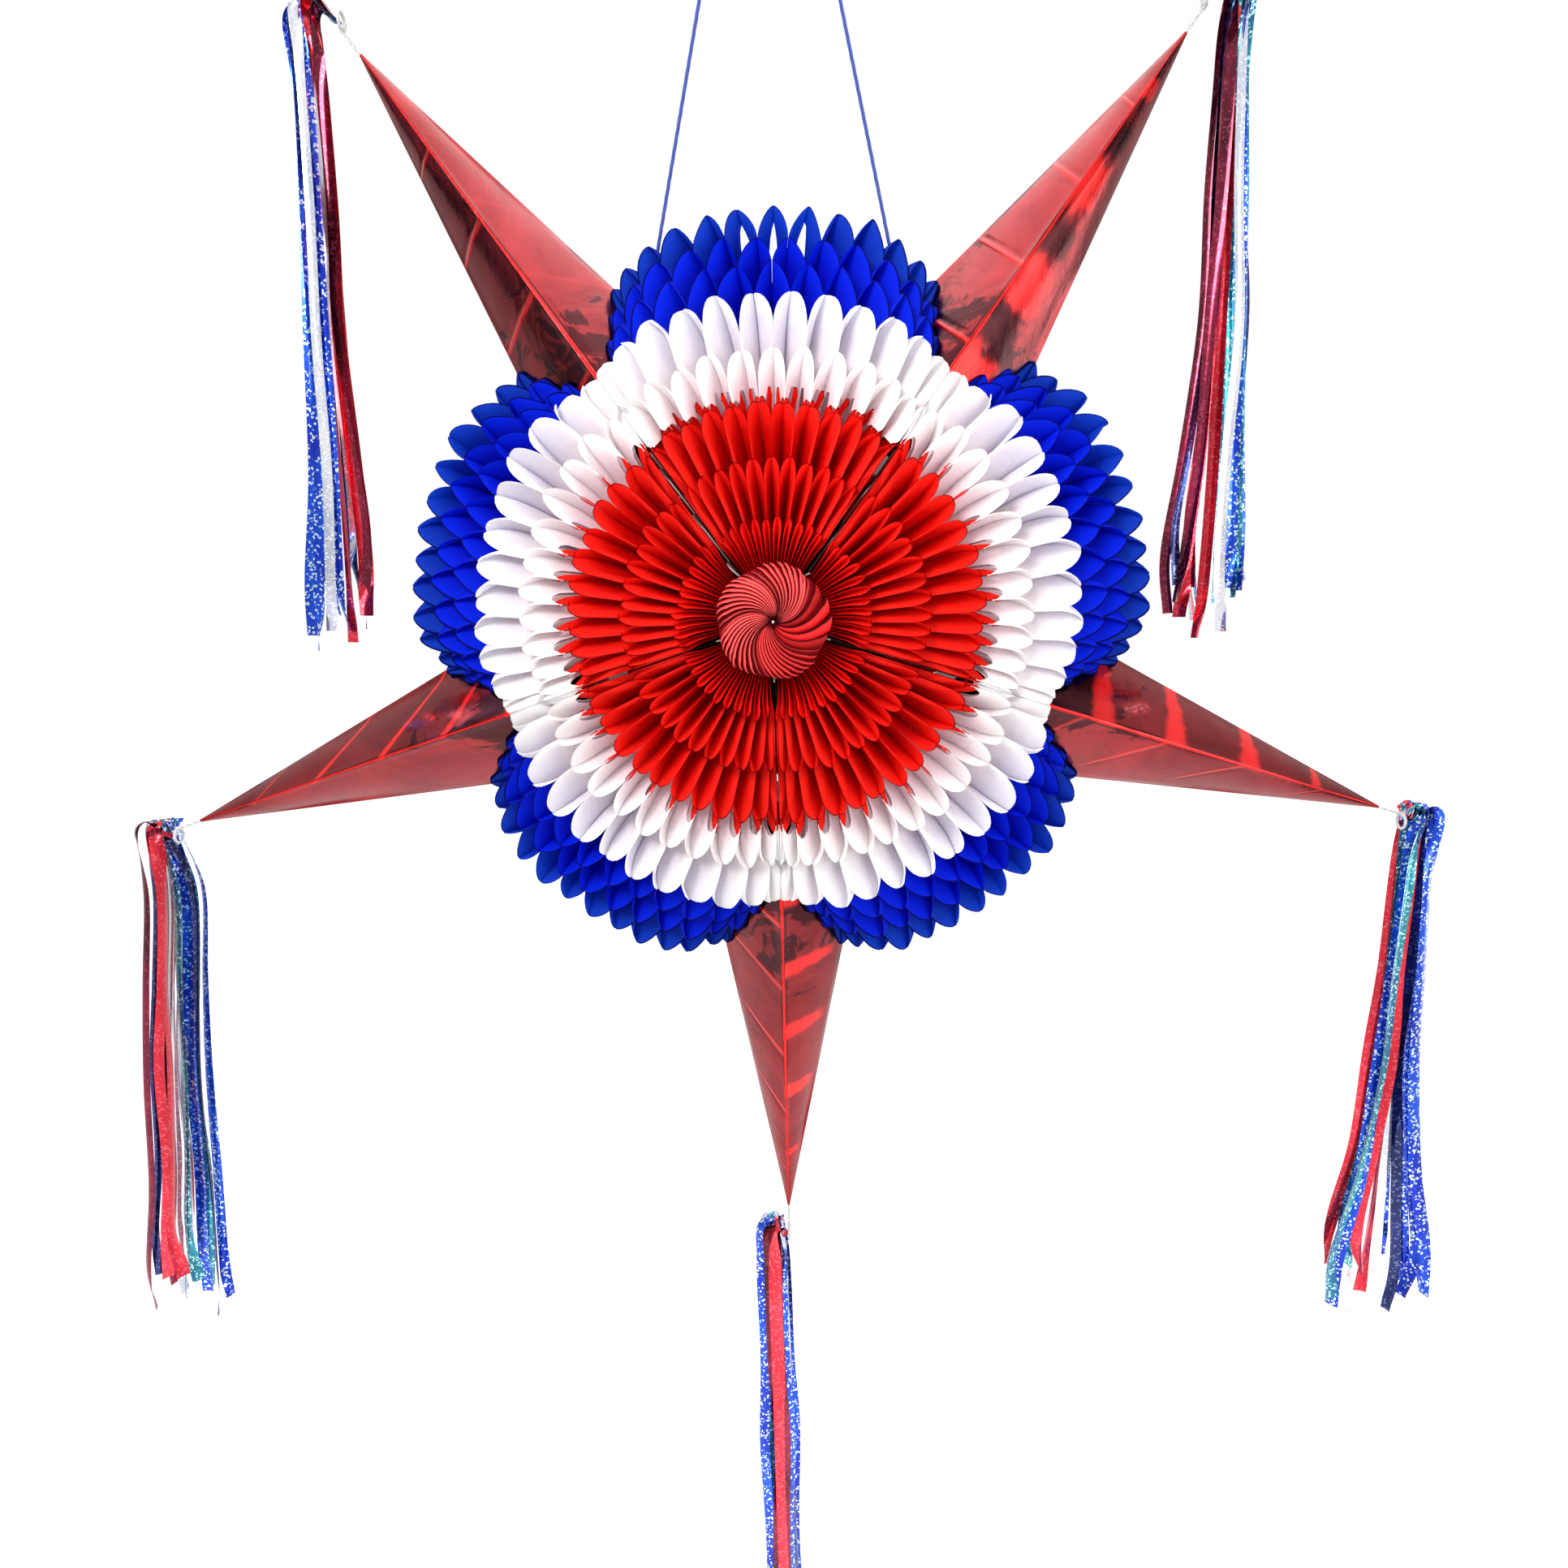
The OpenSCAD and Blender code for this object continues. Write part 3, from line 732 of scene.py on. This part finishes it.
def build_rosette(name, node_name, body, base_y, towards):
    """A pinwheel of thin twisted pages in five lobes. towards is -1 for the front and 1 for the back."""
    shape = Shape("edge", "rim")
    rng = np.random.default_rng(21)
    for lobe in range(LOBES):
        wide_lobe = lobe == WIDE_LOBE
        pages = WIDE_PAGES if wide_lobe else LOBE_PAGES
        step = 360 / LOBES / pages * 0.97
        for page in range(pages):
            share = (page + 0.5) / pages
            start = LOBE_START + lobe * 72 + page * step + rng.uniform(-0.4, 0.4)
            far = ROSETTE_R * (0.89 + 0.11 * math.sin(math.pi * share) ** 0.7) + rng.uniform(-0.0004, 0.0004)
            drop = 0.0036 if wide_lobe else 0.0024
            border = 0 < page < pages - 1
            rows = []
            for s in np.linspace(0, 1.24, 26):
                t = min(1, s)
                r = 0.0010 + (far - 0.0010) * t
                turn = LOBE_TURN * t ** 0.85
                row = []
                for w in (0, 0.08, 0.2, 0.36, 0.52, 0.66, 0.77, 0.86, 1.02):
                    a = math.radians(start + turn + w * step)
                    lift = drop * ((min(1.0, w) ** 0.7) - 1) * (0.3 + 0.7 * t)
                    h = dome(t, share) + lift - 0.0010 * (w > 1)
                    rr = r + 0.0009 * w * (s > 0.85)
                    if s > 1:
                        fall = (s - 1) / 0.24
                        h -= fall * (dome(1, share) - 0.0006)
                        rr -= fall * 0.0020
                    # The edge value: a dark line at each page's cut edge (w above 0.80), painted shade where a page
                    # runs under its neighbour's edge (w below 0.05) and in the hollow centre, and darker down the
                    # outer fall, on the pages where two lobes meet and on half of each wide page.
                    line = 1.0 * (w > 0.80) + 0.9 * (w < 0.05) + 0.9 * max(0.0, (s - 1.04) / 0.2)
                    line += (0.0 if border else 0.45) + (0.12 if wide_lobe and w < 0.5 else 0)
                    line += 0.9 * max(0.0, 1 - t / HOLLOW)
                    # Painted light: each page brightens towards its cut edge, more on some lobes than on others.
                    glow = 0.9 * smoothstep(0.1, 0.5, w) * LOBE_GLOW[lobe]
                    row.append((-towards * rr * math.cos(a), base_y + towards * max(LOWEST, h), rr * math.sin(a),
                                line, glow))
                rows.append(row)
            rows = np.array(rows)
            shape.grid(in_star(rows[..., :3]), edge=np.clip(rows[..., 3], 0, 1), rim=rows[..., 4])
    around = np.linspace(0, 2 * math.pi, 60, endpoint=False)
    backing = []
    for t in (0.02, 0.2, 0.4, 0.6, 0.8, 0.93, 1.0, 1.1):
        rr = min(t, 0.96) * ROSETTE_R
        h = max(LOWEST, dome(t, 0.5) - BACKING) * (1 - max(0, t - 1) * 8)
        backing.append([(rr * math.cos(a), base_y + towards * h, rr * math.sin(a)) for a in around])
    # The dome behind the pages takes most of the dark edge colour: painted shade where it shows between them.
    shape.grid(in_star(backing), closed=True, edge=0.8, rim=0.0)
    rosette = shape.piece(name, ROSETTE, body, "rosette_red")
    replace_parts(rosette, node_name)
    thread = Shape()
    centre = in_star([0, base_y + towards * 0.0058, 0])
    strand(thread, knot_path(centre, 0.0006), 0.0002, pitch=0.002, around=8)
    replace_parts(thread.piece(name + "_thread", WHITE_THREAD, body, "string_white"), node_name)


build_rosette("front_pinwheel", "front_rosette", "star", FRONT_Y, -1)
build_rosette("back_pinwheel", "back_rosette", "fill_lid", BACK_Y, 1)

# ---- Foil cones ----
CREASES = 5  # slanting creases on each face of a cone
CREASE_H = 0.0004  # height of a thin crease
RAGGED = 0.15  # how uneven the outline of a flat reflection is
POINT = 0.004  # how far the foil stops short of the point
# The creases of each cone's faces, on the clockwise side and then the other: how bright their painted highlight is,
# half their width, how far they slant towards the body, their spacing along the ridge, the first one's distance from
# the point, and how far across the face they reach
CREASED = {"top_left": ((0.06, 0.0014, 0.30, 0.058, 0.050, 1.0), (0.8, 0.0012, 0.0, 0.0520, 0.022, 1.0)),
           "left": ((1.0, 0.0022, 0.56, 0.0470, 0.050, 1.0), (0.04, 0.0012, 0.40, 0.050, 0.050, 1.0)),
           "bottom": ((0.7, 0.0013, 0.40, 0.0465, 0.034, 0.8), (0.9, 0.0045, 0.05, 0.0460, 0.050, 0.75)),
           "right": ((0.45, 0.0013, 0.60, 0.055, 0.050, 0.7), (0.85, 0.0060, 0.0, 0.0490, 0.054, 1.1)),
           "top_right": ((0.95, 0.0130, -0.14, 0.063, 0.045, 0.5), (0.85, 0.0011, -0.16, 0.0530, 0.058, 1.0))}
HELD = 12  # how suddenly the slanting mesh rows stop at the open end
STRAIGHTEN = 0.16  # distance from the point at which the slant has fallen to a half
BROAD = 0.002  # half width beyond which a crease is a flat bright reflection
BROADEST = 0.010  # half width beyond which a dark reflection lies beside it
DARK_BY = 0.029  # distance from the broadest reflections to the dark ones
# Mesh columns across a face, as shares of its width, and where the ridge's painted bright line (a painted highlight)
# and painted dark line lie
WIDTHS = [0, 0.010, 0.021, 0.027, 0.034, 0.045, 0.055] + list(np.linspace(0.09, 0.96, 24)) + [0.985, 1]
BRIGHT_LINE, DARK_LINE = (0.0, 0.022), (0.028, 0.050)


def build_cones():
    rng = np.random.default_rng(11)
    length = TIP_R - CONE_IN
    along = np.linspace(0, 1 - POINT / length, 320)
    for valley, angle in VALLEYS.items():
        out = direction(angle)
        across = np.array([-out[2], 0, out[0]])
        shape = Shape("fold", "dark", "line")
        for side in (-1, 1):
            for depth in (-1, 1):
                sharp, half_wide, slant, spacing, first, reach = CREASED[valley][0 if side < 0 else 1]
                creases = [(first + spacing * (k + rng.uniform(-0.05, 0.05)), sharp * rng.uniform(0.65, 1.0))
                           for k in range(CREASES)]
                ragged = RAGGED if half_wide > BROAD else 0.0
                normal = np.array([0, depth * CONE_WIDE, 0]) + across * side * CONE_DEEP + out * 0.05
                normal = normal / np.linalg.norm(normal)
                rows = []
                for s in along:
                    at_ridge = length * (1 - s)
                    row = []
                    for w in WIDTHS:
                        # rows of the mesh slant with the creases, as far as the cone's open end
                        spread = 1 + slant * w * min(1, at_ridge / 0.03) / (1 + (at_ridge / STRAIGHTEN) ** 2)
                        full = at_ridge * spread / (1 + (at_ridge * spread / length) ** HELD) ** (1 / HELD)
                        middle = out * (TIP_R - full)
                        ridge = middle + np.array([0, depth * CONE_DEEP * full, 0])
                        p = ridge + (middle + across * side * CONE_WIDE * full - ridge) * w
                        lift = crease = shade = 0.0
                        jag = ragged * noise.noise(Vector((w * 9, full * 90, angle * 0.1)))
                        for at, power in creases:
                            away = (at - at_ridge) * spread
                            thin = half_wide * (1.25 - 0.6 * w + 2.4 * jag) * min(1, at / 0.10)
                            inside = smoothstep(reach + 0.10, reach - 0.10, w + jag)
                            bend = math.exp(-abs(away / thin) ** (6 if ragged else 2)) * power * inside
                            crease = max(crease, bend)
                            if ragged:
                                beside = (away - DARK_BY) / (0.8 * thin)
                                shade = max(shade, (half_wide > BROADEST) * math.exp(-abs(beside) ** 6) * inside)
                            else:
                                dip = math.exp(-((away - 2.5 * thin) / (1.8 * thin)) ** 2) * power * inside
                                lift += CREASE_H * (bend - 0.8 * dip)
                        edge_share = min(1, full / 0.05) * min(1, w * 10, (1 - w) * 10)
                        sag = 0.0016 * noise.noise(Vector(p) * 14 + Vector((side * 3, depth * 5, angle)))
                        puff = 0.0012 * math.sin(math.pi * w) * min(1, full / 0.08)
                        p = p + normal * (lift * edge_share + sag * edge_share + puff - 0.0012 * (w < 0.001))
                        # Painted light and shade: the bright ridge line and the crease highlights are painted
                        # highlight; the dark ridge line and the dark patches beside broad reflections are painted
                        # dark reflections, as are the dark rows near the body.
                        bright_line = 0.6 * (BRIGHT_LINE[0] < w < BRIGHT_LINE[1]) * smoothstep(0.06, 0.16, s)
                        dark_line = 0.85 * (DARK_LINE[0] < w < DARK_LINE[1]) * min(1, full / 0.03)
                        fold = max(0.95 * crease * min(1, full / 0.03), bright_line)
                        row.append((*p, fold, smoothstep(0.62, 0.10, s), max(0.9 * shade, dark_line)))
                    rows.append(row)
                rows = np.array(rows)
                shape.grid(in_star(rows[..., :3]), fold=rows[..., 3], dark=rows[..., 4], line=rows[..., 5])
        piece = shape.piece("foil_" + valley, FOIL, "star", "foil_red")
        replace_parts(piece, "foil_cone_" + valley)


build_cones()


# ---- Strings out of the points ----
STRING_IN = 0.012  # how far a string reaches into its cone


def build_strings():
    """A doubled thread from each point, its knot, and the eye that a tassel hangs in."""
    for valley, angle in VALLEYS.items():
        out, eye = direction(angle), eye_at(valley)
        start = in_star(out * (TIP_R - STRING_IN))
        end = eye - np.array([0, 0, EYE_LIFT[valley] * EYE_R])
        across = np.array([0, 1, 0])
        shape = Shape()
        for phase in (0, math.pi):
            t = np.linspace(0, 1, 60)[:, None]
            side = np.cross(out, across)
            wind = 2 * math.pi * 2.5 * t + phase
            path = start + (end - start) * t + 0.00055 * (np.cos(wind) * across + np.sin(wind) * side)
            strand(shape, path, 0.0005, pitch=0.003, around=8)
        a = np.linspace(0, 2 * math.pi, 90)
        ring = eye + EYE_R * np.stack([0 * a, np.sin(a), np.cos(a)], axis=1)
        strand(shape, ring, 0.0009, pitch=0.004, around=10, loop=True)
        strand(shape, knot_path(end, 0.0014), 0.00055, pitch=0.003, around=8)
        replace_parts(shape.piece("thread_" + valley, WHITE_THREAD, "star", "string_white"), "tip_string_" + valley)


build_strings()

# ---- Tassels ----
# Strips of each tassel, from the star's side outwards: b blue, t teal, r red, d dark, n navy, s silver
STRIPS = {"top_left": "drdsrnbstbbtb", "left": "nbtbtsrsrrdnd", "bottom": "bsbrdrrsdbtsb",
          "right": "tbrtrsrsbnbbb", "top_right": "dndrrsrstbtbn"}
SLOTS = {"b": "strip_blue", "t": "strip_teal", "r": "strip_red", "d": "strip_dark", "n": "strip_navy",
         "s": "strip_silver"}


def smooth_path(points, count):
    """A Catmull-Rom curve through points, sampled evenly in its parameter."""
    p = np.asarray(points, float)
    p = np.vstack([2 * p[0] - p[1], p, 2 * p[-1] - p[-2]])
    result = []
    for u in np.linspace(0, len(p) - 3 - 1e-6, count):
        k = int(u)
        f = u - k
        a, b, c, d = p[k:k + 4]
        result.append(0.5 * (2 * b + (c - a) * f + (2 * a - 5 * b + 4 * c - d) * f * f
                             + (3 * b - a - 3 * c + d) * f ** 3))
    return np.array(result)


def build_tassel(valley, seed):
    """Strips folded through the eye, arching over and hanging. Each turns from edge-on to face-on as it falls."""
    rng = np.random.default_rng(seed)
    eye, side = eye_at(valley), OUTWARD[valley]
    order = STRIPS[valley]
    shapes = {SLOTS[letter]: Shape("edge") for letter in dict.fromkeys(order)}
    depths = rng.permutation(len(order)) / (len(order) - 1) * 2 - 1
    for index, letter in enumerate(order):
        share = (index + 0.5 + rng.uniform(-0.4, 0.4)) / len(order)
        near, half_way, far = (a + 0.0035 + (b - a - 0.007) * share for a, b in SPREAD[valley])
        y = depths[index] * 0.0085
        reach = TASSEL * rng.uniform(0.87, 0.995) - 0.004
        flare = rng.uniform(-0.010, 0.010)
        over = min(max(near, 0.007), 0.022)
        crest = 0.0085 + 0.10 * over + rng.uniform(-0.001, 0.001)
        turned = max(near, 0.006) + 0.001
        points = [(0.0005, 0.1 * y, 0), (max(0.0034, 0.30 * over), 0.4 * y, 0.28 * crest), (0.72 * over, y, crest),
                  (turned, y, 0.35 * crest), (near * 0.7 + turned * 0.3, y, -0.018), (near, 1.1 * y, -0.045),
                  (0.5 * (near + half_way), y, -0.10), (half_way + 0.3 * flare, 0.9 * y, -0.5 * reach),
                  (0.6 * half_way + 0.4 * far, y, -0.72 * reach), (far, 1.1 * y, -reach + 0.035),
                  (far + 0.6 * flare, y + 0.3 * flare, -reach)]
        path = smooth_path([(side * u, v, z) for u, v, z in points], 120) + eye
        tangent, _, _ = frames_along(path)
        width = rng.uniform(0.0058, 0.0088) if letter in "brt" else rng.uniform(0.0045, 0.0070)
        turn_end = rng.choice([-1, 1]) * (math.pi / 2 + rng.uniform(-0.5, 0.5))
        wobble, phase = rng.uniform(0.1, 0.45), rng.uniform(0, 6.28)
        rows, edges = [], []
        for k, (p, t) in enumerate(zip(path, tangent)):
            s = k / (len(path) - 1)
            depth = np.array([0, 1, 0]) - t * t[1]
            depth = depth / np.linalg.norm(depth)
            flat = np.cross(t, depth)
            turn = turn_end * smoothstep(0.16, 0.50, s) + wobble * math.sin(6 * s + phase) * smoothstep(0.1, 0.3, s)
            turn += 1.1 * math.sin(phase) * smoothstep(0.90, 1.0, s)
            across = math.cos(turn) * depth + math.sin(turn) * flat
            bow = math.cos(turn) * flat - math.sin(turn) * depth
            half = width / 2 * (0.35 + 0.65 * smoothstep(0.0, 0.14, s))
            curl = 0.0025 * smoothstep(0.93, 1.0, s) * math.sin(phase)
            columns = np.linspace(-1, 1, 5)
            rows.append([p + across * half * c + bow * (0.10 * width * c * c + curl) for c in columns])
            edges.append(np.abs(columns) > 0.9)
        shapes[SLOTS[letter]].grid(np.array(rows), edge=np.array(edges, float))
    for slot, shape in shapes.items():
        piece = shape.piece(f"{slot}s_{valley}", FILMS[slot], f"tassel_{valley}_body", slot)
        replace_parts(piece, "tassel_" + valley)


for number, valley in enumerate(VALLEYS):
    build_tassel(valley, 100 + number)

# ---- CAD nodes that keep their shape ----
for name, material in (("hang_ring", RING), ("treat_tube", CARD), ("tube_end", CARD), ("fill_cap", CARD)):
    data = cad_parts[name].data
    data.materials.clear()
    data.materials.append(material)


# ---- Stage, light and sky ----
def area_light(name, place, size, power, colour=(1, 1, 1)):
    data = bpy.data.lights.new(name, "AREA")
    data.shape, data.size, data.energy, data.color = "DISK", size, power, colour
    lamp = add_object(name, data)
    lamp.location = place
    lamp.rotation_mode = "QUATERNION"
    lamp.rotation_quaternion = (Vector((0, 0, -DROP)) - Vector(place)).to_track_quat("-Z", "Y")


def build_stage():
    mat, nt, bsdf, out = new_material("pale_floor")
    clouds = noise_at(nt, coords(nt), 3, 3)
    feed(nt, bsdf, {"Base Color": mix(nt, clouds, (0.86,) * 3, (0.90,) * 3), "Roughness": 0.9})
    glow = node(nt, "ShaderNodeEmission", {"Strength": 0.42})
    seen = node(nt, "ShaderNodeLightPath").outputs["Is Camera Ray"]
    only_seen = node(nt, "ShaderNodeMixShader", {0: seen, 2: glow.outputs[0]})
    total = node(nt, "ShaderNodeAddShader", {0: bsdf.outputs[0], 1: only_seen.outputs[0]})
    feed(nt, out, {0: total.outputs[0]})
    mesh = bpy.data.meshes.new("floor")
    half, low = 20, -1.75
    mesh.from_pydata([(-half, -half, low), (half, -half, low), (half, half, low), (-half, half, low)], [],
                     [(0, 1, 2, 3)])
    mesh.materials.append(mat)
    floor = add_object("floor", mesh)


def build_sky():
    """White where it is seen, and a soft studio gradient where it lights and reflects."""
    world = bpy.data.worlds.new("studio")
    bpy.context.scene.world = world
    world.use_nodes = True
    nt = world.node_tree
    nt.nodes.clear()
    split = node(nt, "ShaderNodeSeparateXYZ", {0: node(nt, "ShaderNodeTexCoord").outputs["Generated"]})
    up = math_node(nt, "ADD", math_node(nt, "MULTIPLY", split.outputs[2], 0.5), 0.5)
    gradient = ramp(nt, up, [(0.0, (0.55,) * 3), (0.45, (0.40, 0.40, 0.41)), (0.62, (0.85, 0.85, 0.86)),
                             (1.0, (1, 1, 1))])
    lit = node(nt, "ShaderNodeBackground", {0: gradient, 1: 0.85})
    shown = node(nt, "ShaderNodeBackground", {0: (1, 1, 1)})
    seen = node(nt, "ShaderNodeLightPath").outputs["Is Camera Ray"]
    both = node(nt, "ShaderNodeMixShader", {0: seen, 1: lit.outputs[0], 2: shown.outputs[0]})
    feed(nt, node(nt, "ShaderNodeOutputWorld"), {0: both.outputs[0]})


build_stage()
build_sky()
area_light("key", (-1.1, -1.7, 0.9), 1.2, 60)
area_light("fill", (1.5, -1.3, -0.3), 1.4, 24)
area_light("top", (0.2, 0.4, 1.7), 2.4, 22)
area_light("behind", (-0.3, 2.0, -0.2), 1.6, 16)
area_light("side", (2.2, 0.35, -0.70), 1.5, 12)
bpy.context.scene.view_settings.view_transform = "Standard"
